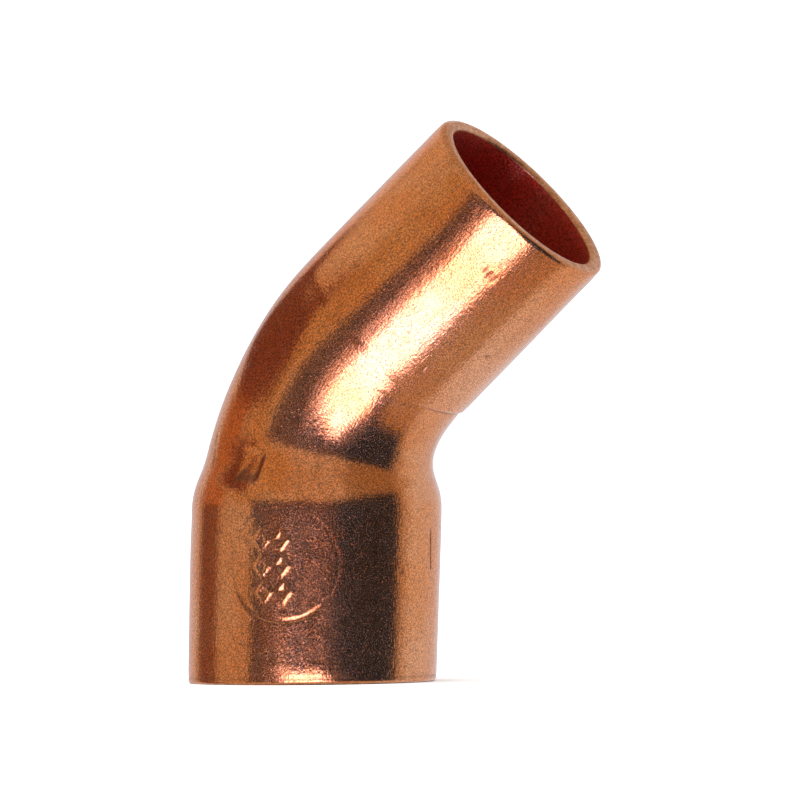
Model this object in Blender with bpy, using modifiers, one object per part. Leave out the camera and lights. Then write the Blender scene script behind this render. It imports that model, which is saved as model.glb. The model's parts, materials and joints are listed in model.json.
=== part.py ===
"""A 45 degree street elbow for soldered copper tube, nominal size 1/2 in.

The fitting is one length of seamless copper tube. Its lower end is swelled into a cup
that takes a tube, it bends through 45 degrees, and its upper end stays at the tube's own
outside diameter, so it slips into the cup of another fitting. The shell is turned as a
straight blank, with the cup, the shoulder and both rims in its profile, and the blank is
then carried round the bend, which is how the real fitting is formed.

Axes: +Z up the cup, +X the side it bends towards. The origin is on the plane of the
cup's rim, under the middle of the fitting's outline.
"""

import math

import bpy
from mathutils import Vector

MM = 0.001

# Driving dimensions
TUBE_OD = 15.875 * MM  # outside of the tube it joins, and of its own spigot
WALL = 1.15 * MM
SOLDER_GAP = 0.055 * MM  # all round the tube in the cup
CUP_DEPTH = 13.0 * MM  # rim to the point where the tube stops
BEND_ANGLE = math.radians(45)
BEND_RADIUS = 17.8 * MM  # of the centreline
BEND_START = 13.4 * MM  # up the axis from the cup's rim
SPIGOT_LENGTH = 14.8 * MM  # straight, from the end of the bend to the rim

# The shoulder between cup and tube, measured along the centreline. It starts a little short
# of the cup's depth, where the bore has closed by the solder gap and stops the tube.
SHOULDER_START = CUP_DEPTH - 1.0 * MM
SHOULDER_END = 20.3 * MM
SHOULDER_LEAN = 0.9 * MM  # outside, it sits further up on the inner side of the bend

# Rounding of the rims
CUP_EDGE = 0.22 * MM
SPIGOT_EDGE = 0.30 * MM

# Fineness of the mesh
SEGMENTS = 64  # round the tube
SHOULDER_STEPS = 8
BEND_STEPS = 9
EDGE_STEPS = 3

# Worked out from the dimensions above
SPIGOT_RADIUS = TUBE_OD / 2
CUP_RADIUS = SPIGOT_RADIUS + SOLDER_GAP + WALL
BEND_END = BEND_START + BEND_RADIUS * BEND_ANGLE
LENGTH = BEND_END + SPIGOT_LENGTH

COPPER = (0.80, 0.29, 0.11, 1.0)
COPPER_ROUGHNESS = 0.28


def clear_scene():
    for existing in list(bpy.data.objects):
        bpy.data.objects.remove(existing, do_unlink=True)


def smooth_step(share):
    """0 to 1 with a level start and end."""
    share = min(1.0, max(0.0, share))
    return share * share * (3 - 2 * share)


def outer_radius(along):
    """Radius of the outside at a length along the centreline."""
    share = (along - SHOULDER_START) / (SHOULDER_END - SHOULDER_START)
    return CUP_RADIUS + (SPIGOT_RADIUS - CUP_RADIUS) * smooth_step(share)


def stations():
    """Lengths along the centreline, rim to rim, at which the shell has a ring."""
    shoulder = [
        SHOULDER_START + (SHOULDER_END - SHOULDER_START) * step / SHOULDER_STEPS
        for step in range(SHOULDER_STEPS + 1)
    ]
    bend = [
        SHOULDER_END + (BEND_END - SHOULDER_END) * step / BEND_STEPS
        for step in range(1, BEND_STEPS + 1)
    ]
    cup = [SHOULDER_START / 2]
    spigot = [BEND_END + SPIGOT_LENGTH / 2]
    return cup + shoulder + bend + spigot


def rounded_corner(radius, height, edge, start):
    """Points of a quarter circle about (radius, height), from the angle start onwards."""
    return [
        (
            radius + edge * math.cos(start + math.pi / 2 * step / EDGE_STEPS),
            height + edge * math.sin(start + math.pi / 2 * step / EDGE_STEPS),
        )
        for step in range(EDGE_STEPS + 1)
    ]


def wall_profile():
    """The wall's outline as (radius, length along the centreline), top to bottom outside."""
    cup_bore = CUP_RADIUS - WALL
    spigot_bore = SPIGOT_RADIUS - WALL
    top = LENGTH - SPIGOT_EDGE
    outside = [(outer_radius(along), along) for along in reversed(stations())]
    inside = [(outer_radius(along) - WALL, along) for along in stations()]

    profile = list(reversed(rounded_corner(SPIGOT_RADIUS - SPIGOT_EDGE, top, SPIGOT_EDGE, 0)))
    profile += outside
    profile += reversed(rounded_corner(CUP_RADIUS - CUP_EDGE, CUP_EDGE, CUP_EDGE, -math.pi / 2))
    profile += reversed(rounded_corner(cup_bore + CUP_EDGE, CUP_EDGE, CUP_EDGE, math.pi))
    profile += inside
    profile += reversed(rounded_corner(spigot_bore + SPIGOT_EDGE, top, SPIGOT_EDGE, math.pi / 2))
    return profile


def turned_blank(name, profile):
    """A straight shell: the closed profile turned once about Z."""
    count = len(profile)
    outline = bpy.data.meshes.new(name + "_profile")
    outline.from_pydata(
        [(radius, 0, along) for radius, along in profile],
        [(i, (i + 1) % count) for i in range(count)],
        [],
    )
    blank = bpy.data.objects.new(name + "_blank", outline)
    bpy.context.collection.objects.link(blank)

    screw = blank.modifiers.new("turn", "SCREW")
    screw.axis = "Z"
    screw.angle = math.tau
    screw.steps = SEGMENTS
    screw.render_steps = SEGMENTS
    screw.use_merge_vertices = True
    screw.merge_threshold = 0.01 * MM

    bpy.context.view_layer.update()
    graph = bpy.context.evaluated_depsgraph_get()
    mesh = bpy.data.meshes.new_from_object(blank.evaluated_get(graph))
    bpy.data.objects.remove(blank, do_unlink=True)
    bpy.data.meshes.remove(outline)
    mesh.name = name
    return mesh


def lean_shoulder(point):
    """Slides the outer shoulder along: up on the side it bends towards, down opposite.

    The bore keeps its place, so the wall is thicker inside the bend and thinner outside it.
    """
    radius = math.hypot(point.x, point.y)
    if radius < outer_radius(point.z) - WALL / 2:
        return point.copy()
    middle = (SHOULDER_START + SHOULDER_END) / 2
    reach = (SHOULDER_END - SHOULDER_START) / 2 + 2 * SHOULDER_LEAN
    nearness = smooth_step(1 - abs(point.z - middle) / reach)
    return point + Vector((0, 0, SHOULDER_LEAN * nearness * point.x / radius))


def carry_round_bend(point):
    """Moves a point of the straight blank to its place on the bent fitting."""
    turned = min(BEND_ANGLE, max(0.0, (point.z - BEND_START) / BEND_RADIUS))
    straight = point.z - BEND_START - turned * BEND_RADIUS  # length that lies off the arc
    centre = Vector((BEND_RADIUS * (1 - math.cos(turned)), 0, BEND_START + BEND_RADIUS * math.sin(turned)))
    along = Vector((math.sin(turned), 0, math.cos(turned)))
    across = Vector((math.cos(turned), 0, -math.sin(turned)))
    return centre + along * straight + across * point.x + Vector((0, point.y, 0))


def copper():
    material = bpy.data.materials.new("copper")
    material.use_nodes = True
    surface = material.node_tree.nodes["Principled BSDF"]
    surface.inputs["Base Color"].default_value = COPPER
    surface.inputs["Metallic"].default_value = 1.0
    surface.inputs["Roughness"].default_value = COPPER_ROUGHNESS
    return material


def elbow_body(collection):
    """The whole fitting: one piece of tube from the cup's rim to the spigot's."""
    mesh = turned_blank("elbow_body", wall_profile())
    for vertex in mesh.vertices:
        vertex.co = carry_round_bend(lean_shoulder(vertex.co))
    mesh.shade_smooth()
    mesh.set_sharp_from_angle(angle=math.radians(50))
    mesh.materials.append(copper())

    body = bpy.data.objects.new("elbow_body", mesh)
    sideways = [vertex.co.x for vertex in mesh.vertices]
    body.location.x = -(min(sideways) + max(sideways)) / 2
    collection.objects.link(body)
    return body


def main():
    clear_scene()
    collection = bpy.data.collections.new("street_elbow")
    bpy.context.scene.collection.children.link(collection)
    elbow_body(collection)


main()
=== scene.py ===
"""The looks of the 45 degree copper street elbow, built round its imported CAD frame.

The fitting is one piece of copper, so there is one skin. It has the CAD solid's sizes and
place, and adds what forming, stamping and handling leave in the real wall: a shoulder that
leans with the bend, a step where the sized spigot begins, the round die stamp with a plain
lozenge pattern in it, tool marks, nicks, and cut rims. The finer grain is in the materials.
"""

import json
import math
from collections import namedtuple

import bpy
import numpy as np
from mathutils import Matrix, Vector


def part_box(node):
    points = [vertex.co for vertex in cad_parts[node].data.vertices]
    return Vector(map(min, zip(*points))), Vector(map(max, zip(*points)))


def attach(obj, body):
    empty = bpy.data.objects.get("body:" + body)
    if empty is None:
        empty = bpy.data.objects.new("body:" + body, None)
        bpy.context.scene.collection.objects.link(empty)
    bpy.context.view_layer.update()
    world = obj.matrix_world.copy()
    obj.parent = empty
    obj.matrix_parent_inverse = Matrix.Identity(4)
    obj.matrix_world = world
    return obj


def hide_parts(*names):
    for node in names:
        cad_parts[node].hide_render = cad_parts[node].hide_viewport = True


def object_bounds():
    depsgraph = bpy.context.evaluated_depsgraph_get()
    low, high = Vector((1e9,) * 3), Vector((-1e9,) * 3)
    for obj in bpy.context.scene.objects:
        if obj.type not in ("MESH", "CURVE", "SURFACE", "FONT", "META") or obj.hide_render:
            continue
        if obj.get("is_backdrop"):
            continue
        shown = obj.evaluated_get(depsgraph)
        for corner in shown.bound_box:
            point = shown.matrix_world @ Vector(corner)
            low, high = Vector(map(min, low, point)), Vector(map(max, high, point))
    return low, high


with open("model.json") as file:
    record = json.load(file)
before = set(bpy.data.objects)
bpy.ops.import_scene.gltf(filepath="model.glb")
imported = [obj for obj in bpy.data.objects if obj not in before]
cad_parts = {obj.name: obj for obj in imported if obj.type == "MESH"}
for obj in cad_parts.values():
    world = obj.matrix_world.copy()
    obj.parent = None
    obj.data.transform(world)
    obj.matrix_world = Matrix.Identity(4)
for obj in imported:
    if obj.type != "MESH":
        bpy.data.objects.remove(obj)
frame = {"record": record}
cad_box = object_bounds()

MM = 0.001
MICRON = 0.000001
NODE = "elbow_body"

# ---------------------------------------------------------------------------------------
# Sizes, from the frame where it has them. An angle goes round the tube from the inside of
# the bend (+X), and a place along it is a length on the centreline from the cup's rim.
# ---------------------------------------------------------------------------------------

low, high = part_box(NODE)
mounts = {mount["name"]: mount for mount in frame["record"]["mounts"]}
spigot_end = mounts["spigot_end_face"]

CUP_RADIUS = (high.y - low.y) / 2
AXIS_X = low.x + CUP_RADIUS  # the cup's axis
BEND_ANGLE = math.atan2(spigot_end["axis"][0], spigot_end["axis"][2])
MOUTH_X = spigot_end["pos_m"][0] - AXIS_X  # centre of the spigot's end, from the cup's axis
MOUTH_Z = spigot_end["pos_m"][2]

BEND_RADIUS = 17.8 * MM
SPIGOT_RADIUS = 7.9375 * MM
BEND_TUBE_RADIUS = 7.91 * MM  # the tube is a little slack where it isn't sized
WALL = 1.15 * MM

SPIGOT_LENGTH = (MOUTH_X - BEND_RADIUS * (1 - math.cos(BEND_ANGLE))) / math.sin(BEND_ANGLE)
BEND_START = MOUTH_Z - BEND_RADIUS * math.sin(BEND_ANGLE) - SPIGOT_LENGTH * math.cos(BEND_ANGLE)
BEND_END = BEND_START + BEND_RADIUS * BEND_ANGLE
LENGTH = BEND_END + SPIGOT_LENGTH  # along the centreline, rim to rim

# A broad swell of the wall at a place along the tube, or a hollow if its height is below 0.
# It falls to about a third at its width from the middle.
Swell = namedtuple("Swell", "at width height")

# The cup widens slightly from its rim to its shoulder
CUP_TAPER = 0.09 * MM
CUP_STRAIGHT = 12.0 * MM
CUP_FULLNESS = 0.05 * MM  # as pressed, over the nominal radius

# The outer shoulder's two ends, each on the outside and on the inside of the bend
SHOULDER_START = (7.9 * MM, 11.7 * MM)
SHOULDER_END = (22.5 * MM, 22.8 * MM)
SHOULDER_SHARPNESS = 2.7

# The outside of the bend. The first swell is the brow that the die leaves where the wall
# turns in from the cup.
BROW = (
    Swell(13.6 * MM, 1.3 * MM, 0.19 * MM),
    Swell(15.3 * MM, 1.0 * MM, -0.12 * MM),
    Swell(18.1 * MM, 2.0 * MM, 0.10 * MM),
)
BROW_FADE = 1.5  # the power by which they fade towards the inside of the bend

# The hollow above the shoulder on either side of the bend
SIDE_HOLLOW = Swell(17.2 * MM, 1.75 * MM, -0.19 * MM)
SIDE_ANGLE = math.radians(94)
SIDE_REACH = math.radians(38)

# The hollow that the bending tool leaves inside the bend
BEND_HOLLOW = Swell(BEND_END - 6.0 * MM, 4.0 * MM, -0.12 * MM)

# The bore's shoulder, from start to end
BORE_SHOULDER = (12.0 * MM, 20.3 * MM)

# The step where the sized spigot starts, on the inside of the bend
STEP_AT = BEND_END - 0.35 * MM
STEP_BACK = 0.65 * MM  # it starts this much earlier at the end of its reach
STEP_REACH = math.radians(36)
STEP_SINK = (0.13 * MM, 0.8 * MM)  # depth below the bend's wall, and how far that runs out
STEP_SWELL = (0.09 * MM, 6.0 * MM)  # the same for the swell of the spigot above the step
STEP_ROUNDING = 0.5 * MM
SIZING_RUN = 1.0 * MM  # the tube reaches the spigot's size this far past the step

# The unevenness of drawn and pressed tube: waves added up
WAVES = 16
WAVE_TURNS = (1, 9)  # whole waves round the tube, the second number left out
WAVE_LENGTH_MM = (5, 16)
WAVE_SIZE = 1.6 * MICRON  # of a wave as long as WAVE_NOMINAL
WAVE_NOMINAL = 8 * MM
WAVE_SPREAD = (0.5, 1.5)  # shares of that size
CUP_WAVINESS = 0.4  # share in the cup, which the die smooths, against 1.4 in the bend
CUP_SMOOTHED = (10 * MM, 6 * MM)  # where the cup's share ends, and how far the change takes

# The round stamp on the cup
STAMP_ANGLE = math.radians(-83.2)
STAMP_ALONG = 9.0 * MM
STAMP_RADIUS = 4.15 * MM
STAMP_RING_WIDTH = 0.14 * MM  # half of it
STAMP_RING_DEPTH = 0.028 * MM
STAMP_LEAN = 0.65  # share by which it is deeper towards STAMP_HEEL and shallower opposite
STAMP_HEEL = math.radians(-115)
STAMP_FIELD_DEPTH = 0.012 * MM
STAMP_FIELD_EDGE = (STAMP_RADIUS + 0.1 * MM, 0.5 * MM)
LOZENGE_SIZE = (0.62 * MM, 0.92 * MM)  # half width and half height
LOZENGE_LINE_AT = 0.75  # the raised line's middle, as a share of that size
LOZENGE_LINE = 0.145 * MM  # half width of the line
LOZENGE_RISE = 0.052 * MM
LOZENGE_PLACES_MM = (
    (-1.65, 1.75),
    (-0.15, 1.85),
    (-1.55, -0.15),
    (-0.05, -0.05),
    (-1.35, -2.05),
    (0.15, -1.95),
)

# The corner of a die pressed into the shoulder. Each side is its distance from the middle
# and the width of its slope, which lies within that distance.
CORNER_ANGLE = math.radians(-105)
CORNER_ALONG = 16.05 * MM
CORNER_DEPTH = 0.11 * MM
CORNER_RIGHT = (1.2 * MM, 0.5 * MM)
CORNER_LEFT = (1.7 * MM, 1.7 * MM)
CORNER_TOP = (0.9 * MM, 0.16 * MM)
CORNER_BOTTOM = (1.0 * MM, 0.5 * MM)

# Straight cuts along the tube, leaning by a share of their length. Lengths are in mm, and
# length and width are halves.
Score = namedtuple("Score", "degrees at lean length width depth")
SCORE_BY_CORNER = Score(-137.5, 16.2, 0.80, 1.1, 0.13, 0.045)
SCORE_IN_BEND = Score(-1.5, 10.3, 0.08, 1.7, 0.10, 0.06)
SCORE_END = 0.4 * MM  # a score runs out over this length

# The line that the cutter leaves, by its height above the cup's rim
RIM_GROOVE = Swell(0.42 * MM, 0.10 * MM, -0.022 * MM)

# Small knocks from a box of loose fittings, in degrees and mm: the ones that the photo
# shows, and the ranges from which the others are drawn
Nick = namedtuple("Nick", "degrees at size depth")
SEEN_NICKS = [
    Nick(-57.2, 38.1, 0.15, 0.080),
    Nick(-60.6, 38.25, 0.12, 0.060),
    Nick(-54.0, 38.0, 0.12, 0.055),
    Nick(-46.8, 29.5, 0.13, 0.060),
    Nick(-21.2, 32.9, 0.10, 0.060),
    Nick(-25.2, 8.6, 0.12, 0.040),
    Nick(-109.5, 15.2, 0.20, 0.060),
    Nick(-105.5, 15.0, 0.17, 0.070),
    Nick(-101.0, 15.2, 0.20, 0.060),
    Nick(-94.0, 2.35, 0.12, 0.045),
    Nick(-88.5, 2.5, 0.10, 0.040),
]
NICK_RANGES = Nick((-180, 180), (1, 41), (0.12, 0.30), (0.006, 0.02))
NICK_COUNT = 90
NICK_STRETCH = (1.0, 3.0)  # length over width

# Where the surface is worn paler: inside the bend, past the step
RUBBED_REACH = 1.1  # radians
RUBBED = (30.5 * MM, 4.5 * MM)  # middle and half length

# Dark oxide in the marks and painted shade at the step and die corner, as shares of the full amount
SOILED_DEPTH = 0.035 * MM  # scores and nicks this deep are full of it
SOILED_POWER = 1.5  # shallower ones hold less than their share
# Painted shade: a dark line along the edge of the step
STEP_SHADE = 1.2  # more than full, so that the line has a firm edge
STEP_SHADE_LINE = (-0.02 * MM, 0.13 * MM)  # from the step, and half width
RING_SOIL = 0.3
RING_CLEAN = 0.5  # share of the ring's depth that stays clean
# Painted shade on the right slope of the die's corner
CORNER_SHADE = 0.9
# A darker line round the spigot rim's outer rounding
SPIGOT_RIM_DARKENING = 0.12  # on the rounding of the spigot's rim

# The rim of the cup isn't cut quite square: it is higher on the side towards this angle
CUP_RIM_SLANT = math.radians(2.1)
CUP_RIM_HIGH_SIDE = math.radians(35)
CUP_RIM_BLEND = 4 * MM  # rows follow the slant up to here

# The wall leans in near its two rims: by how much, and over what length
CUP_TUCK = (0.13 * MM, 1.7 * MM)
CUP_TUCK_MIDDLE = math.radians(-69)
CUP_TUCK_REACH = math.radians(44)
CUP_TUCK_LEAST = 0.2  # share of the tuck on the far side of the cup
SPIGOT_TUCK = (0.06 * MM, 1.3 * MM)

# Rims
SPIGOT_EDGE = (0.34 * MM, 0.30 * MM)  # rounding outside and inside
SPIGOT_EDGE_LEAN = 0.12 * MM  # the outside rounding is larger on the outside of the bend
SPIGOT_EXCESS = 0.05 * MM  # the uneven cut lies this far past the CAD's length, on average
SPIGOT_UNEVEN = 0.012 * MM
SPIGOT_BORE_UNEVEN = 0.04 * MM
SPIGOT_FACE_ROWS = (0.33, 0.66)  # shares of the way across the flat of the rim
CUP_EDGE = (0.24 * MM, 0.20 * MM)
CUP_UNEVEN = 0.004 * MM
RIM_WAVES = (2, 3, 5, 8, 13)  # whole waves round a rim

# Where materials and the rim's darker line change on a rounding, as shares of its rise or fall
SPIGOT_CUT_FROM = 0.97
SPIGOT_BORE_BELOW = 0.15
SPIGOT_DARKENING_FROM = 0.4
CUP_CUT_FROM = 0.8

# Fineness of the skin
COLUMNS = 340
OUTER_ROWS = 246
BORE_ROWS = 18
BORE_ROW_ENDS = (LENGTH - 1 * MM, 1.5 * MM)
EDGE_STEPS = 5
SPACING_SAMPLES = 4000

SEED = 11

# The skin's material slots
OUTSIDE, CUT, BORE = 0, 1, 2


# ---------------------------------------------------------------------------------------
# The wall's shape
# ---------------------------------------------------------------------------------------

def smooth_step(share):
    share = np.clip(share, 0, 1)
    return share * share * (3 - 2 * share)


def hump(distance, width):
    """1 at the middle and 0 a few widths away."""
    return np.exp(-((distance / width) ** 2))


def swelling(swell, along):
    return swell.height * hump(along - swell.at, swell.width)


def within(side, off):
    """1 inside a side and 0 past it, for a side as its distance and the width of its slope."""
    distance, slope = side
    return smooth_step((distance - off) / slope)


def near(value, middle, reach, edge):
    """1 within reach of middle, and 0 past the edge outside that."""
    return smooth_step((reach + edge - np.abs(value - middle)) / edge)


def signed_angle(angle):
    return (angle + math.pi) % math.tau - math.pi


def inner_side(angle):
    """1 on the inside of the bend and 0 on the outside."""
    return (1 + np.cos(angle)) / 2


def place(angle, radius, along):
    """The point at an angle, a radius and a length along the bent centreline."""
    turned = np.clip((along - BEND_START) / BEND_RADIUS, 0, BEND_ANGLE)
    straight = along - BEND_START - turned * BEND_RADIUS
    across = radius * np.cos(angle)
    x = AXIS_X + BEND_RADIUS * (1 - np.cos(turned)) + straight * np.sin(turned)
    z = BEND_START + BEND_RADIUS * np.sin(turned) + straight * np.cos(turned)
    return np.stack([x + across * np.cos(turned), radius * np.sin(angle), z - across * np.sin(turned)], -1)


def shoulder_share(angle, along):
    """The outer shoulder's way from the cup's radius to the tube's, from 0 to 1."""
    start = SHOULDER_START[0] + (SHOULDER_START[1] - SHOULDER_START[0]) * inner_side(angle)
    end = SHOULDER_END[0] + (SHOULDER_END[1] - SHOULDER_END[0]) * inner_side(angle)
    share = np.clip((along - start) / (end - start), 0, 1)
    rise, fall = share**SHOULDER_SHARPNESS, (1 - share) ** SHOULDER_SHARPNESS
    return rise / (rise + fall)


def bend_swells(angle, along):
    """The swells on the outside of the bend and the hollow on either side of it."""
    brow = sum(swelling(swell, along) for swell in BROW) * (1 - inner_side(angle)) ** BROW_FADE
    side = hump(np.abs(signed_angle(angle)) - SIDE_ANGLE, SIDE_REACH)
    return brow + swelling(SIDE_HOLLOW, along) * side


def tuck(size, from_rim):
    """How far the wall leans in near a rim."""
    depth, length = size
    return depth * np.clip(1 - from_rim / length, 0, 1) ** 2


def tucks(angle, along):
    cup_side = hump(signed_angle(angle - CUP_TUCK_MIDDLE), CUP_TUCK_REACH)
    cup = tuck(CUP_TUCK, along) * (CUP_TUCK_LEAST + (1 - CUP_TUCK_LEAST) * cup_side)
    return cup + tuck(SPIGOT_TUCK, LENGTH - along)


def formed_radius(angle, along):
    """The outside without its marks."""
    cup = CUP_RADIUS + CUP_FULLNESS + CUP_TAPER * (np.clip(along / CUP_STRAIGHT, 0, 1) - 0.5)
    sized = smooth_step((along - STEP_AT) / SIZING_RUN)
    tube = BEND_TUBE_RADIUS + (SPIGOT_RADIUS - BEND_TUBE_RADIUS) * sized
    shouldered = cup + (tube - cup) * shoulder_share(angle, along)
    return shouldered + bend_swells(angle, along) - tucks(angle, along)


def bore_radius(along):
    share = (along - BORE_SHOULDER[0]) / (BORE_SHOULDER[1] - BORE_SHOULDER[0])
    cup_bore = CUP_RADIUS - WALL
    return cup_bore + (SPIGOT_RADIUS - WALL - cup_bore) * smooth_step(share)


def bend_hollow(angle, along):
    return swelling(BEND_HOLLOW, along) * np.clip(np.cos(angle), 0, 1) ** 2


def past_step(angle, along):
    """Distance beyond the step along the tube, and how fully the step is formed there."""
    side = signed_angle(angle) / STEP_REACH
    return along - STEP_AT + STEP_BACK * side**2, np.exp(-(side**2))


def step(angle, along):
    """The bend sinks towards the sized spigot, which swells with a rounded edge."""
    off, formed = past_step(angle, along)
    sink, sink_length = STEP_SINK
    swell, swell_length = STEP_SWELL
    below = -sink * np.exp(np.minimum(off, 0) / sink_length)
    rounding = 1 - (1 - np.clip(off / STEP_ROUNDING, 0, 1)) ** 2
    above = (sink + swell) * rounding - sink
    above = np.where(off > STEP_ROUNDING, swell * np.exp(-(off - STEP_ROUNDING) / swell_length), above)
    return np.where(off < 0, below, above) * formed


def waviness(angle, along, rng):
    """The slight unevenness of drawn and pressed tube."""
    wave = np.zeros_like(along)
    for _ in range(WAVES):
        round_turns = rng.integers(*WAVE_TURNS)
        length = rng.uniform(*WAVE_LENGTH_MM) * MM
        phase = rng.uniform(0, math.tau)
        size = WAVE_SIZE * rng.uniform(*WAVE_SPREAD) * math.sqrt(length / WAVE_NOMINAL)
        wave += size * np.cos(round_turns * angle + math.tau * along / length + phase)
    cup_end, change = CUP_SMOOTHED
    return wave * (CUP_WAVINESS + smooth_step((along - cup_end) / change))


def lozenges(across, up):
    """Raised outlines of plain lozenges: the stamp's generic pattern."""
    wide, tall = LOZENGE_SIZE
    line = LOZENGE_LINE * math.hypot(wide, tall) / (wide * tall)
    rise = np.zeros_like(across)
    for place_across, place_up in LOZENGE_PLACES_MM:
        reach = np.abs(across - place_across * MM) / wide + np.abs(up - place_up * MM) / tall
        rise = np.maximum(rise, hump(reach - LOZENGE_LINE_AT, line))
    return LOZENGE_RISE * rise


def stamp(angle, along):
    """A ring pressed into the cup, a slightly sunk field inside it, and lozenges on that."""
    across = signed_angle(angle - STAMP_ANGLE) * CUP_RADIUS
    up = along - STAMP_ALONG
    reach = np.hypot(across, up)
    struck = 1 + STAMP_LEAN * np.cos(np.arctan2(up, across) - STAMP_HEEL)
    ring = STAMP_RING_DEPTH * struck * hump(reach - STAMP_RADIUS, STAMP_RING_WIDTH)
    field = STAMP_FIELD_DEPTH * within(STAMP_FIELD_EDGE, reach)
    return -ring - field + lozenges(across, up) * (reach < STAMP_RADIUS)


def die_corner(angle, along):
    """How deep the die's corner is, and from 0 to 1 where the slope of its right side lies."""
    around = signed_angle(angle - CORNER_ANGLE) * CUP_RADIUS
    up = along - CORNER_ALONG
    right_side = within(CORNER_RIGHT, around)
    ends = within(CORNER_TOP, up) * within(CORNER_BOTTOM, -up)
    depth = CORNER_DEPTH * right_side * within(CORNER_LEFT, -around) * ends
    return depth, 4 * right_side * (1 - right_side) * ends


def score(cut, angle, along):
    up = along - cut.at * MM
    off = signed_angle(angle - math.radians(cut.degrees)) * CUP_RADIUS + cut.lean * up
    ends = within((cut.length * MM, SCORE_END), np.abs(up))
    return -cut.depth * MM * hump(off, cut.width * MM) * ends


def rim_groove(angle, along):
    return swelling(RIM_GROOVE, along - cup_rim_height(angle))


def nicks(angle, along, rng):
    depth = np.zeros_like(along)
    drawn = [Nick(*[rng.uniform(*limits) for limits in NICK_RANGES]) for _ in range(NICK_COUNT)]
    for nick in SEEN_NICKS + drawn:
        lean = rng.uniform(0, math.pi)
        stretch = rng.uniform(*NICK_STRETCH)
        around = signed_angle(angle - math.radians(nick.degrees)) * SPIGOT_RADIUS
        off = along - nick.at * MM
        major = (around * math.cos(lean) + off * math.sin(lean)) / (nick.size * stretch * MM)
        minor = (off * math.cos(lean) - around * math.sin(lean)) / (nick.size * MM)
        depth += nick.depth * MM * np.exp(-(major**2) - minor**2)
    return -depth


def narrow_marks(angle, along):
    """The marks that hold dark oxide by their depth."""
    knocks = nicks(angle, along, np.random.default_rng(SEED + 2))
    scores = score(SCORE_BY_CORNER, angle, along) + score(SCORE_IN_BEND, angle, along)
    return scores + rim_groove(angle, along) + knocks


def outer_radius(angle, along):
    """The outside with its marks."""
    relief = bend_hollow(angle, along) + waviness(angle, along, np.random.default_rng(SEED))
    relief += step(angle, along) + stamp(angle, along) + narrow_marks(angle, along)
    return formed_radius(angle, along) + relief - die_corner(angle, along)[0]


def rubbed(angle, along):
    """How much the surface is worn paler, from 0 to 1."""
    middle, length = RUBBED
    return hump(signed_angle(angle), RUBBED_REACH) * hump(along - middle, length)


def soil(angle, along):
    """Dark oxide in the marks and painted shade at the step and die corner, from 0 to 1."""
    deep = np.clip(-narrow_marks(angle, along) / SOILED_DEPTH, 0, 1) ** SOILED_POWER
    off, formed = past_step(angle, along)
    line, width = STEP_SHADE_LINE
    # Painted shade: a dark line along the step's edge
    shade_at_step = STEP_SHADE * formed**2 * hump(off - line, width)
    ring = RING_SOIL * np.clip(-stamp(angle, along) / STAMP_RING_DEPTH - RING_CLEAN, 0, 1)
    # Painted shade on the die corner's right slope
    shade_in_corner = CORNER_SHADE * die_corner(angle, along)[1]
    return np.clip(deep + shade_at_step + ring + shade_in_corner, 0, 1)


# ---------------------------------------------------------------------------------------
# The skin: rows along the wall's outline, columns round the tube
# ---------------------------------------------------------------------------------------

# A row's points, the same on the straight tube, and its oxide and painted shade. The material
# is of the faces from this row to the next.
Row = namedtuple("Row", "points straight soil material")


def spaced(start, end, count, density):
    """count values from start to end, closer together where density is higher."""
    fine = np.linspace(start, end, SPACING_SAMPLES)
    share = np.concatenate([[0], np.cumsum((density(fine[1:]) + density(fine[:-1])) / 2)])
    return np.interp(np.linspace(0, share[-1], count), share, fine)


def column_angles():
    """Denser over the stamp and over the score inside the bend."""
    def density(angle):
        off_stamp = signed_angle(angle - STAMP_ANGLE) * CUP_RADIUS
        off_score = signed_angle(angle - math.radians(SCORE_IN_BEND.degrees)) * CUP_RADIUS
        stamped = near(off_stamp, 0, reach=STAMP_RADIUS + 0.4 * MM, edge=2 * MM)
        scored = near(off_score, 0, reach=0.3 * MM, edge=0.5 * MM)
        return 1 + 2.0 * stamped + 3.0 * scored

    opposite = STAMP_ANGLE - math.pi
    return spaced(opposite, opposite + math.tau, COLUMNS + 1, density)[:-1]


def outer_rows():
    """Denser over the stamp, the step and the rims."""
    def density(along):
        stamped = near(along, STAMP_ALONG, reach=STAMP_RADIUS + 0.5 * MM, edge=1.5 * MM)
        stepped = near(along, STEP_AT - 0.2 * MM, reach=0.7 * MM, edge=1.5 * MM)
        rims = sum(near(along, rim, reach=0.5 * MM, edge=1 * MM) for rim in (0, LENGTH))
        return 1 + 1.3 * stamped + 1.6 * stepped + 0.8 * rims

    return spaced(CUP_EDGE[0], LENGTH - SPIGOT_EDGE[0], OUTER_ROWS, density)


def quarter(first, last):
    """Cosine and sine of each point of a rounding, from one angle in degrees to another."""
    turn = np.radians(np.linspace(first, last, EDGE_STEPS + 1))
    return list(zip(np.cos(turn), np.sin(turn)))


def rim_unevenness(angle, rng, size):
    waves = [
        rng.uniform(-1, 1) * np.cos(turns * angle + rng.uniform(0, math.tau)) / turns
        for turns in RIM_WAVES
    ]
    return size * sum(waves)


def cup_rim_height(angle):
    """How far up the slanted cut of the cup's rim lies, from its lowest point."""
    return CUP_RADIUS * math.tan(CUP_RIM_SLANT) * (1 + np.cos(angle - CUP_RIM_HIGH_SIDE))


def skin_row(angle, radius, along, material, dirt_and_shade=0):
    """A row all round the wall, from values for each column or one value for all."""
    radius, along, dirt_and_shade = (np.broadcast_to(value, angle.shape) for value in (radius, along, dirt_and_shade))
    straight = np.stack([radius * np.cos(angle), radius * np.sin(angle), along], -1)
    return Row(place(angle, radius, along), straight, dirt_and_shade, material)


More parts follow.
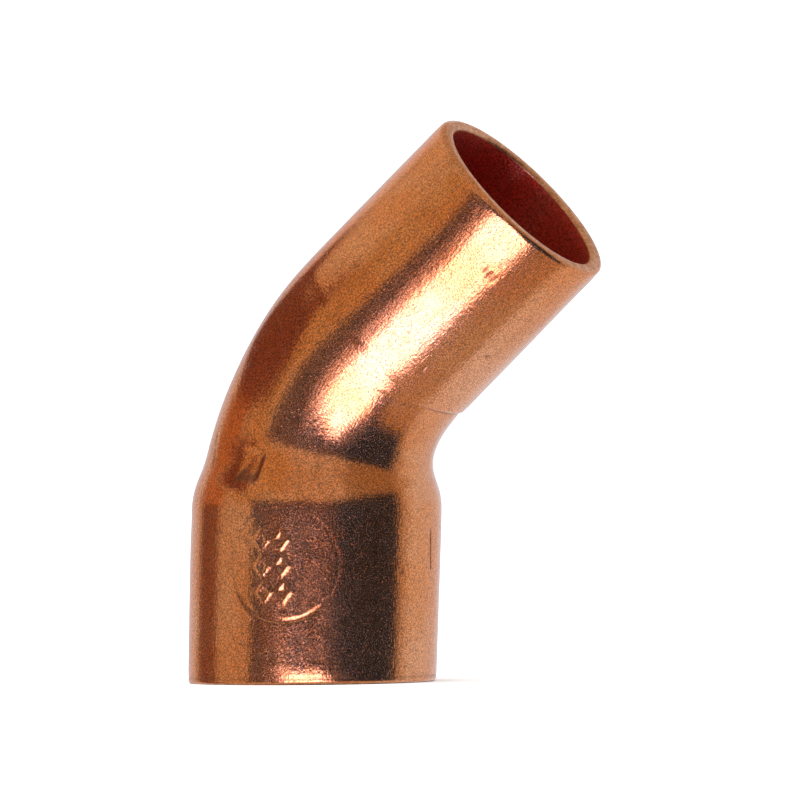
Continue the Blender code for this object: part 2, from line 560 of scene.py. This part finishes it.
def outside_rows(angle):
    for along in outer_rows():
        lifted = along + cup_rim_height(angle) * np.clip(1 - along / CUP_RIM_BLEND, 0, 1)
        yield skin_row(angle, outer_radius(angle, lifted), lifted, OUTSIDE, soil(angle, lifted))


def spigot_rim_rows(angle, rng):
    """Over the spigot's rim, from the outside into the bore."""
    outer, inner = SPIGOT_EDGE
    radius = outer_radius(angle, np.full_like(angle, LENGTH - outer))
    top = LENGTH + SPIGOT_EXCESS + rim_unevenness(angle, rng, SPIGOT_UNEVEN)
    bore = bore_radius(LENGTH) + rim_unevenness(angle, rng, SPIGOT_BORE_UNEVEN)
    outer = outer - SPIGOT_EDGE_LEAN * np.cos(angle)
    for level, rise in quarter(0, 90)[1:]:
        # A darker line on the middle of the outer rounding
        dirt_and_shade = SPIGOT_RIM_DARKENING if SPIGOT_DARKENING_FROM < rise < SPIGOT_CUT_FROM else 0
        material = OUTSIDE if rise < SPIGOT_CUT_FROM else CUT
        yield skin_row(angle, radius - outer + outer * level, top - outer + outer * rise, material, dirt_and_shade)
    for share in SPIGOT_FACE_ROWS:
        yield skin_row(angle, radius - outer + (bore + inner - radius + outer) * share, top, CUT)
    for level, rise in quarter(90, 180):
        material = BORE if rise < SPIGOT_BORE_BELOW else CUT
        yield skin_row(angle, bore + inner + inner * level, top - inner + inner * rise, material)


def bore_rows(angle):
    for along in np.linspace(*BORE_ROW_ENDS, BORE_ROWS):
        yield skin_row(angle, bore_radius(along), along, BORE)


def cup_rim_rows(angle, rng):
    """Over the cup's rim, from the bore to the outside."""
    outer, inner = CUP_EDGE
    radius = outer_radius(angle, np.full_like(angle, outer))
    bottom = cup_rim_height(angle) + rim_unevenness(angle, rng, CUP_UNEVEN)
    bore = bore_radius(0)
    for level, rise in quarter(180, 270):
        yield skin_row(angle, bore + inner + inner * level, bottom + inner + inner * rise, CUT)
    yield skin_row(angle, (bore + inner + radius - outer) / 2, bottom, CUT)
    for level, rise in quarter(270, 360)[:-1]:
        material = CUT if rise < -CUP_CUT_FROM else OUTSIDE
        yield skin_row(angle, radius - outer + outer * level, bottom + outer + outer * rise, material)


def skin_rows(angle):
    """All rows: up the outside, over the spigot's rim, down the bore, over the cup's rim."""
    rng = np.random.default_rng(SEED + 1)
    rows = list(outside_rows(angle))
    rows += spigot_rim_rows(angle, rng)
    rows += bore_rows(angle)
    rows += cup_rim_rows(angle, rng)
    return rows


def skin_faces(row_count):
    """Quads between each row and the next, the last row joining the first."""
    row, column = np.divmod(np.arange(row_count * COLUMNS), COLUMNS)
    next_row, next_column = (row + 1) % row_count, (column + 1) % COLUMNS
    corners = ((row, column), (row, next_column), (next_row, next_column), (next_row, column))
    return np.stack([at_row * COLUMNS + at_column for at_row, at_column in corners], -1)


def copper_skin(materials):
    angle = column_angles()
    rows = skin_rows(angle)
    points = np.concatenate([row.points for row in rows])
    straight = np.concatenate([row.straight for row in rows])
    dirt_and_shade = np.concatenate([row.soil for row in rows])

    mesh = bpy.data.meshes.new("elbow_skin")
    mesh.from_pydata(points.tolist(), [], skin_faces(len(rows)).tolist())
    mesh.update()
    mesh.shade_smooth()

    blank = mesh.attributes.new("blank", "FLOAT_VECTOR", "POINT")
    blank.data.foreach_set("vector", straight.astype(np.float32).ravel())
    worn = rubbed(np.tile(angle, len(rows)), straight[:, 2])
    # Dark oxide with painted shade, and the paler worn patch
    for name, values in (("soil", dirt_and_shade), ("rubbed", worn)):
        attribute = mesh.attributes.new(name, "FLOAT", "POINT")
        attribute.data.foreach_set("value", values.astype(np.float32))
    for material in materials:
        mesh.materials.append(material)
    slots = np.repeat([row.material for row in rows], COLUMNS).astype(np.int32)
    mesh.polygons.foreach_set("material_index", slots)

    skin = bpy.data.objects.new("elbow_skin", mesh)
    bpy.context.scene.collection.objects.link(skin)
    return skin


# ---------------------------------------------------------------------------------------
# Materials
# ---------------------------------------------------------------------------------------

COPPER = (0.84, 0.285, 0.095, 1)
COPPER_PINK = (0.86, 0.345, 0.155, 1)
COPPER_BROWN = (0.62, 0.205, 0.055, 1)
# The dark of tarnish in pits and marks, and of the painted shade at the step and die corner
COPPER_TARNISH_AND_SHADE = (0.22, 0.08, 0.035, 1)
COPPER_WORN = (0.97, 0.46, 0.28, 1)
CUT_PALE = (0.85, 0.44, 0.27, 1)
CUT_DULL = (0.66, 0.30, 0.155, 1)
BORE_RED = (0.88, 0.20, 0.155, 1)
BORE_DARK_RED = (0.80, 0.10, 0.065, 1)
BORE_OXIDE = (0.34, 0.05, 0.03, 1)
EDGE_TINT = (1.0, 0.86, 0.80, 1)

WORN_SHARE = 0.65
PITTED_SHARE = 0.75
# How far dark oxide and the painted shade darken the colour
SOIL_AND_SHADE_SHARE = 0.85
# Roughness added with the oxide, also where shade is painted at the step and die corner
SOILED_ROUGHNESS = 0.2  # added where the marks hold soil

HAZE_ROUGHNESS = 0.6
HAZE_IOR = 1.8
TURNING_PITCH = 0.11 * MM  # between the cutter's marks on the rims

# A Mix node has sockets of the same name for each kind of data. These are the colour ones.
MIX_SHARE, MIX_FIRST, MIX_SECOND, MIX_RESULT = 0, 6, 7, 2


class Nodes:
    """Short calls for building one material's node tree."""

    def __init__(self, name):
        self.material = bpy.data.materials.new(name)
        self.material.use_nodes = True
        self.tree = self.material.node_tree
        self.surface = self.tree.nodes["Principled BSDF"]

    def add(self, kind, inputs=None, **settings):
        node = self.tree.nodes.new("ShaderNode" + kind)
        for name, value in settings.items():
            setattr(node, name, value)
        for name, value in (inputs or {}).items():
            self.put(value, node.inputs[name])
        return node

    def put(self, value, socket):
        if isinstance(value, bpy.types.NodeSocket):
            self.tree.links.new(value, socket)
        else:
            socket.default_value = value

    def attribute(self, name, output="Fac"):
        return self.add("Attribute", attribute_name=name).outputs[output]

    def blank(self, stretch=(1, 1, 1), turn=(0, 0, 0)):
        """A point's place on the straightened tube, scaled and turned for streaks."""
        inputs = {"Vector": self.attribute("blank", "Vector"), "Scale": stretch, "Rotation": turn}
        return self.add("Mapping", inputs).outputs["Vector"]

    def noise(self, size, detail=2.0, rough=0.5, where=None):
        """Noise from 0 to 1 with features of a size in metres."""
        inputs = {"Vector": where or self.blank(), "Scale": 1 / size, "Detail": detail, "Roughness": rough}
        return self.add("TexNoise", inputs).outputs["Fac"]

    def between(self, value, start, end, low=0.0, high=1.0):
        """low where the value is at start, high where it is at end, and smooth between them."""
        inputs = {"Value": value, "From Min": start, "From Max": end, "To Min": low, "To Max": high}
        return self.add("MapRange", inputs, interpolation_type="SMOOTHSTEP").outputs["Result"]

    def math(self, kind, first, second=0.0):
        return self.add("Math", {0: first, 1: second}, operation=kind).outputs[0]

    def mix(self, share, first, second, blend="MIX"):
        node = self.add("Mix", data_type="RGBA", blend_type=blend)
        self.put(share, node.inputs[MIX_SHARE])
        self.put(first, node.inputs[MIX_FIRST])
        self.put(second, node.inputs[MIX_SECOND])
        return node.outputs[MIX_RESULT]

    def speckled(self, colour, grain, start, end, dark, light):
        """The colour times a brightness from dark to light, by a grain's value."""
        value = self.between(grain, start, end, dark, light)
        grey = self.add("CombineColor", {"Red": value, "Green": value, "Blue": value}).outputs[0]
        return self.mix(1.0, colour, grey, "MULTIPLY")

    def bump(self, height, distance, normal=None):
        inputs = {"Height": height, "Distance": distance}
        if normal is not None:
            inputs["Normal"] = normal
        return self.add("Bump", inputs).outputs["Normal"]

    def finish(self, colour, rough, normal):
        self.surface.inputs["Metallic"].default_value = 1.0
        self.surface.inputs["Specular Tint"].default_value = EDGE_TINT
        self.put(colour, self.surface.inputs["Base Color"])
        self.put(rough, self.surface.inputs["Roughness"])
        self.put(normal, self.surface.inputs["Normal"])
        return self.material


def formed_colour(nodes, blotch, pits, soiled_and_shaded):
    patches = nodes.noise(6.0 * MM, detail=3.0, rough=0.55)
    streaks = nodes.noise(1.6 * MM, detail=3.0, rough=0.6, where=nodes.blank((1, 1, 0.16)))
    grain = nodes.noise(0.105 * MM, detail=1.0, rough=0.6)
    colour = nodes.mix(nodes.between(patches, 0.38, 0.62), COPPER, COPPER_PINK)
    colour = nodes.mix(nodes.between(streaks, 0.50, 0.78, high=0.8), colour, COPPER_BROWN)
    colour = nodes.mix(nodes.between(blotch, 0.55, 0.80, high=0.5), colour, COPPER_BROWN)
    colour = nodes.mix(nodes.math("MULTIPLY", nodes.attribute("rubbed"), WORN_SHARE), colour, COPPER_WORN)
    colour = nodes.mix(nodes.math("MULTIPLY", pits, PITTED_SHARE), colour, COPPER_TARNISH_AND_SHADE)
    colour = nodes.speckled(colour, grain, 0.34, 0.66, dark=0.56, light=1.24)
    # Dark oxide in the marks, and painted shade at the step and die corner
    return nodes.mix(nodes.math("MULTIPLY", soiled_and_shaded, SOIL_AND_SHADE_SHARE), colour, COPPER_TARNISH_AND_SHADE)


def long_lines(nodes):
    """Fine lines along the tube that come and go: a stretched noise where it crosses its middle."""
    value = nodes.noise(0.5 * MM, detail=1.0, where=nodes.blank((1, 1, 0.05)))
    off_middle = nodes.math("ABSOLUTE", nodes.math("SUBTRACT", value, 0.5))
    line = nodes.between(off_middle, 0.0, 0.012, low=1.0, high=0.0)
    present = nodes.between(nodes.noise(2.6 * MM, detail=1.0), 0.50, 0.66)
    return nodes.math("MULTIPLY", line, present)


def formed_normal(nodes, pits):
    """Unevenness, streaks along the tube, rub marks in two directions, pits and fine lines."""
    streaks = nodes.noise(0.3 * MM, where=nodes.blank((1, 1, 0.12)))
    normal = nodes.bump(nodes.noise(0.5 * MM), 7 * MICRON)
    normal = nodes.bump(nodes.noise(0.24 * MM, rough=0.6), 11 * MICRON, normal)
    normal = nodes.bump(streaks, 2 * MICRON, normal)
    for turn in ((0.9, 0.2, 0.4), (-0.6, 0.7, -0.3)):
        rubs = nodes.noise(0.13 * MM, detail=1.0, where=nodes.blank((1, 1, 0.2), turn))
        normal = nodes.bump(rubs, 6 * MICRON, normal)
    normal = nodes.bump(pits, -8 * MICRON, normal)
    return nodes.bump(long_lines(nodes), -1 * MICRON, normal)


def haze(nodes, weight):
    """A thin dull film of oxide and handling over the metal."""
    nodes.put(weight, nodes.surface.inputs["Coat Weight"])
    nodes.surface.inputs["Coat Roughness"].default_value = HAZE_ROUGHNESS
    nodes.surface.inputs["Coat IOR"].default_value = HAZE_IOR


def formed_copper():
    """The drawn and pressed outside: satin, grainy, patchily tarnished."""
    nodes = Nodes("copper_formed")
    blotch = nodes.noise(0.85 * MM, detail=3.0, rough=0.65)
    pits = nodes.between(nodes.noise(0.17 * MM, detail=1.0), 0.69, 0.75)
    # Dark oxide in the marks, with painted shade at the step and die corner
    soiled_and_shaded = nodes.attribute("soil")
    rough = nodes.between(blotch, 0.3, 0.7, low=0.12, high=0.18)
    rough = nodes.math("ADD", rough, nodes.math("MULTIPLY", soiled_and_shaded, SOILED_ROUGHNESS))
    film = nodes.noise(0.12 * MM, detail=1.0, rough=0.6)
    haze(nodes, nodes.between(film, 0.38, 0.66, low=0.1, high=0.8))
    return nodes.finish(formed_colour(nodes, blotch, pits, soiled_and_shaded), rough, formed_normal(nodes, pits))


def cut_copper():
    """The rims, cut and faced: paler and duller, with turning marks round the tube."""
    nodes = Nodes("copper_cut")
    mottle = nodes.noise(0.6 * MM, detail=3.0, rough=0.6)
    grain = nodes.noise(0.14 * MM, rough=0.6)
    colour = nodes.mix(nodes.between(mottle, 0.35, 0.70), CUT_PALE, CUT_DULL)
    colour = nodes.speckled(colour, grain, 0.3, 0.7, dark=0.7, light=1.15)
    apart = nodes.add("SeparateXYZ", {"Vector": nodes.attribute("blank", "Vector")}).outputs
    off_axis = nodes.add("CombineXYZ", {"X": apart["X"], "Y": apart["Y"]}).outputs[0]
    radius = nodes.add("VectorMath", {0: off_axis}, operation="LENGTH").outputs["Value"]
    turned = nodes.math("SINE", nodes.math("MULTIPLY", radius, math.tau / TURNING_PITCH))
    normal = nodes.bump(turned, 1.2 * MICRON, nodes.bump(grain, 7 * MICRON))
    return nodes.finish(colour, nodes.between(mottle, 0.3, 0.7, low=0.34, high=0.46), normal)


def bore_copper():
    """The inside: annealed, dull red with oxide, and never polished."""
    nodes = Nodes("copper_bore")
    patches = nodes.noise(2.4 * MM, detail=3.0, rough=0.6, where=nodes.blank((1, 1, 0.4)))
    grain = nodes.noise(0.22 * MM, rough=0.6)
    fine_grain = nodes.noise(0.11 * MM, detail=1.0, rough=0.6)
    colour = nodes.mix(nodes.between(patches, 0.35, 0.65), BORE_RED, BORE_DARK_RED)
    colour = nodes.mix(nodes.between(grain, 0.50, 0.72, high=0.6), colour, BORE_OXIDE)
    colour = nodes.speckled(colour, fine_grain, 0.32, 0.68, dark=0.6, light=1.35)
    normal = nodes.bump(patches, 30 * MICRON, nodes.bump(grain, 12 * MICRON))
    return nodes.finish(colour, nodes.between(patches, 0.3, 0.7, low=0.40, high=0.55), normal)


# ---------------------------------------------------------------------------------------
# Studio
# ---------------------------------------------------------------------------------------

VIEW_AZIMUTH = math.radians(21.8)
VIEW_ELEVATION = math.radians(0.2)
VIEW_ROLL = math.radians(1.44)
VIEW_DISTANCE = 1.5
VIEW_WIDTH = 58.83 * MM
VIEW_CENTRE = Vector((0.34 * MM, 0.14 * MM, (low.z + high.z) / 2 + 0.28 * MM))
SENSOR_MM = 36

TOWARDS_CAMERA = Vector((math.sin(VIEW_AZIMUTH), -math.cos(VIEW_AZIMUTH), 0))
TO_THE_RIGHT = Vector((math.cos(VIEW_AZIMUTH), math.sin(VIEW_AZIMUTH), 0))

ROOM_COLOUR = (0.57, 0.50, 0.37)  # the pale tent that the copper mirrors
ROOM_LIGHT = 1.25  # what the camera and the floor see instead
OVERHEAD_OFFSET = Vector((-0.1, -0.2, 0.9))
OVERHEAD_WIDTH = 0.9
OVERHEAD_POWER = 8

FLOOR_COLOUR = (0.92, 0.92, 0.92, 1)
FLOOR_REACH = 1.2
FLOOR_GAP = 0.02 * MM  # so that the rim and the floor don't share a plane
# A dark sheet under the cup, seen only in reflections: painted shade in place of the floor
UNDER_CUP_SIDES = 48
UNDER_CUP_RADIUS = 0.98  # share of the cup's
UNDER_CUP_GAP = 0.01 * MM
UNDER_CUP_SHADE_COLOUR = (0.5, 0.5, 0.5)
UNDER_CUP_SHADE_STRENGTH = 0.02

# What the copper mirrors in front of the room. A card's corners are its lower left, lower right,
# upper right and upper left ones, each as degrees to the right of the camera's side and
# degrees up. Where cards overlap, the nearer one is seen.
CARD_DISTANCE = 0.5
NEAR = 0.06  # cards so near that the bend mirrors them in other places than the spigot does
CARD_STEPS = 16
Card = namedtuple("Card", "name corners colour distance strength", defaults=(CARD_DISTANCE, 1.0))
CARDS = (
    # The dark side, where the tent is open round the camera
    Card("curtain", ((14, -41), (85, -42), (82, 21), (14, 13)), (0.030, 0.034, 0.052)),
    Card("curtain_left", ((-61, -30), (16, -41), (16, 3), (-61, 3)), (0.085, 0.070, 0.075), 0.495),
    Card("curtain_left_top", ((-61, 2), (16, 2), (16, 12), (-66, 13)), (0.145, 0.11, 0.10), 0.497),
    # Warm cards above it, below it and on its left
    Card("curtain_top", ((24, 12), (90, 16), (90, 42), (30, 42)), (0.36, 0.28, 0.155), 0.51),
    Card("warm_floor", ((22, -80), (98, -80), (98, -36), (22, -36)), (0.50, 0.39, 0.23), 0.51),
    Card("warm_left", ((-86, 8), (-54, 8), (-54, 28), (-86, 28)), (0.56, 0.43, 0.21), 0.51),
    # The left, which the outside of the bend mirrors
    Card("left_gap_low", ((-131, -40), (-101, -40), (-101, 3), (-131, 3)), (0.23, 0.11, 0.05)),
    Card("left_gap_middle", ((-133, 2), (-99, 2), (-99, 18), (-136, 18)), (0.49, 0.25, 0.09), 0.502),
    Card("near_left", ((-64, 9), (-40, 14), (-36, 38), (-64, 38)), (0.54, 0.41, 0.19), NEAR),
    Card("near_gap", ((-148, 13), (-72, 10.5), (-78, 31.5), (-140, 36)), (0.20, 0.070, 0.026), NEAR),
    # The tent's right, its back and its high left
    Card("right_panel", ((94, -70), (150, -70), (150, 26), (94, 22)), (0.76, 0.84, 0.92)),
    Card("back_right", ((148, -60), (180, -60), (180, 26), (148, 26)), (0.80, 0.93, 1.06), 0.505),
    Card("back_left", ((-180, -60), (-138, -60), (-138, 11), (-180, 22)), (0.74, 0.80, 0.88), 0.505),
    Card("right_low", ((94, -70), (150, -70), (150, -18), (94, -18)), (0.76, 0.77, 0.76), 0.495),
    Card("left_high", ((-150, 22), (-82, 18), (-90, 50), (-150, 50)), (0.70, 0.61, 0.45), 0.508),
    Card("back_left_top", ((-180, 20), (-144, 10), (-146, 30), (-180, 34)), (0.84, 0.78, 0.78), 0.507),
    # The lamp that makes the highlight, and the glow round it
    Card("lamp_halo", ((-42, -50), (34, -50), (24, -7), (-42, -4)), (0.17, 0.135, 0.125), 0.48),
    Card("lamp", ((-30, -46), (21, -46), (7, -10), (-26.5, -11.5)), (1.0, 0.86, 1.14), 0.47, 5.0),
    Card("lamp_corner", ((-33.5, -9.5), (-22, -11.5), (-20, -8), (-35, -5.5)), (1.0, 0.86, 1.0), 0.473, 1.9),
    Card("halo_left", ((-54, -30), (-28, -30), (-28, -2), (-52, 0)), (0.215, 0.15, 0.115), 0.475),
)


def glow(name, colour, strength):
    """A plain shining material that isn't sampled as a light."""
    material = bpy.data.materials.new(name)
    material.use_nodes = True
    tree = material.node_tree
    tree.nodes.clear()
    light = tree.nodes.new("ShaderNodeEmission")
    light.inputs["Color"].default_value = (*colour, 1)
    light.inputs["Strength"].default_value = strength
    output = tree.nodes.new("ShaderNodeOutputMaterial")
    tree.links.new(light.outputs[0], output.inputs["Surface"])
    material.cycles.emission_sampling = "NONE"
    return material


def sheet(name, points, faces, material):
    mesh = bpy.data.meshes.new(name)
    mesh.from_pydata(points, [], faces)
    mesh.materials.append(material)
    piece = bpy.data.objects.new(name, mesh)
    bpy.context.scene.collection.objects.link(piece)
    return piece


def only_in_reflections(piece):
    piece.visible_camera = False
    piece.visible_diffuse = False
    piece.visible_shadow = False
    piece.visible_transmission = False
    piece.visible_volume_scatter = False


def card_point(corners, distance, right, up):
    """The point at shares of the way from a card's left to its right and from low to high."""
    shares = ((1 - right) * (1 - up), right * (1 - up), right * up, (1 - right) * up)
    side = math.radians(sum(share * corner[0] for share, corner in zip(shares, corners)))
    height = math.radians(sum(share * corner[1] for share, corner in zip(shares, corners)))
    level = TOWARDS_CAMERA * math.cos(side) + TO_THE_RIGHT * math.sin(side)
    direction = level * math.cos(height) + Vector((0, 0, math.sin(height)))
    return VIEW_CENTRE + distance * direction


def reflected_card(card):
    """A card bent round the part."""
    points = [
        card_point(card.corners, card.distance, i / CARD_STEPS, j / CARD_STEPS)
        for j in range(CARD_STEPS + 1)
        for i in range(CARD_STEPS + 1)
    ]
    width = CARD_STEPS + 1
    faces = [
        (j * width + i, j * width + i + 1, (j + 1) * width + i + 1, (j + 1) * width + i)
        for j in range(CARD_STEPS)
        for i in range(CARD_STEPS)
    ]
    piece = sheet(card.name, points, faces, glow(card.name, card.colour, card.strength))
    only_in_reflections(piece)
    piece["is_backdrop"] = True


def rim_plane(x, y):
    """Height of the plane through the cup's rim, which the fitting stands flat on."""
    uphill = (x - AXIS_X) * math.cos(CUP_RIM_HIGH_SIDE) + y * math.sin(CUP_RIM_HIGH_SIDE)
    return low.z + (CUP_RADIUS + uphill) * math.tan(CUP_RIM_SLANT)


def painted_shade_under_cup():
    """Painted shade under the cup, seen only in reflections, which shuts the bore to reflected light from
    below.
    """
    points = []
    for i in range(UNDER_CUP_SIDES):
        turn = math.tau * i / UNDER_CUP_SIDES
        x = AXIS_X + CUP_RADIUS * UNDER_CUP_RADIUS * math.cos(turn)
        y = CUP_RADIUS * UNDER_CUP_RADIUS * math.sin(turn)
        points.append((x, y, rim_plane(x, y) - UNDER_CUP_GAP))
    dark = glow("under_cup", UNDER_CUP_SHADE_COLOUR, UNDER_CUP_SHADE_STRENGTH)
    piece = sheet("under_cup", points, [tuple(range(UNDER_CUP_SIDES))], dark)
    only_in_reflections(piece)
    piece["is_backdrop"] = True


def floor_material():
    material = bpy.data.materials.new("floor")
    material.use_nodes = True
    surface = material.node_tree.nodes["Principled BSDF"]
    surface.inputs["Base Color"].default_value = FLOOR_COLOUR
    surface.inputs["Roughness"].default_value = 0.9
    surface.inputs["Specular IOR Level"].default_value = 0.1
    return material


def floor():
    """The floor lies against the rim, so it has the rim's slant."""
    reach = FLOOR_REACH
    corners = [(-reach, -reach), (reach, -reach), (reach, reach), (-reach, reach)]
    points = [(x, y, rim_plane(x, y) - FLOOR_GAP) for x, y in corners]
    piece = sheet("floor", points, [(0, 1, 2, 3)], floor_material())
    piece.visible_glossy = False  # below it, too, the copper mirrors the room and the cards
    piece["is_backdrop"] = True


def room():
    """White to the camera and to the floor, and a pale warm tent in reflections."""
    world = bpy.data.worlds.new("room")
    bpy.context.scene.world = world
    world.use_nodes = True
    tree = world.node_tree
    background = tree.nodes["Background"]
    path = tree.nodes.new("ShaderNodeLightPath")
    pick = tree.nodes.new("ShaderNodeMix")
    pick.data_type = "RGBA"
    tree.links.new(path.outputs["Is Glossy Ray"], pick.inputs[MIX_SHARE])
    pick.inputs[MIX_FIRST].default_value = (ROOM_LIGHT, ROOM_LIGHT, ROOM_LIGHT, 1)
    pick.inputs[MIX_SECOND].default_value = (*ROOM_COLOUR, 1)
    tree.links.new(pick.outputs[MIX_RESULT], background.inputs["Color"])


def overhead_light():
    """A softbox that lights the floor, turned to face the part and not mirrored in it."""
    data = bpy.data.lights.new("overhead", "AREA")
    data.shape = "SQUARE"
    data.size = OVERHEAD_WIDTH
    data.energy = OVERHEAD_POWER
    lamp = bpy.data.objects.new("overhead", data)
    lamp.location = VIEW_CENTRE + OVERHEAD_OFFSET
    lamp.rotation_euler = OVERHEAD_OFFSET.to_track_quat("Z", "Y").to_euler()
    lamp.visible_glossy = False
    bpy.context.scene.collection.objects.link(lamp)


def camera():
    data = bpy.data.cameras.new("camera")
    data.sensor_width = SENSOR_MM
    data.lens = data.sensor_width * VIEW_DISTANCE / VIEW_WIDTH
    data.clip_start = 0.01
    data.clip_end = 50
    piece = bpy.data.objects.new("camera", data)
    back = TOWARDS_CAMERA * math.cos(VIEW_ELEVATION) + Vector((0, 0, math.sin(VIEW_ELEVATION)))
    up = back.cross(TO_THE_RIGHT)
    turned_right = TO_THE_RIGHT * math.cos(VIEW_ROLL) + up * math.sin(VIEW_ROLL)
    turned_up = up * math.cos(VIEW_ROLL) - TO_THE_RIGHT * math.sin(VIEW_ROLL)
    turned = Matrix((turned_right, turned_up, back)).transposed().to_4x4()
    piece.matrix_world = Matrix.Translation(VIEW_CENTRE + back * VIEW_DISTANCE) @ turned
    bpy.context.scene.collection.objects.link(piece)
    bpy.context.scene.camera = piece


def studio():
    floor()
    room()
    for card in CARDS:
        reflected_card(card)
    painted_shade_under_cup()
    overhead_light()
    camera()
    bpy.context.scene.view_settings.view_transform = "Standard"


# ---------------------------------------------------------------------------------------

skin = copper_skin([formed_copper(), cut_copper(), bore_copper()])
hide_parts(NODE)
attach(skin, "root")

studio()

visual_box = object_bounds()
boxes = {"cad": cad_box, "visual": visual_box}
{name: [list(corner) for corner in box] for name, box in boxes.items()}
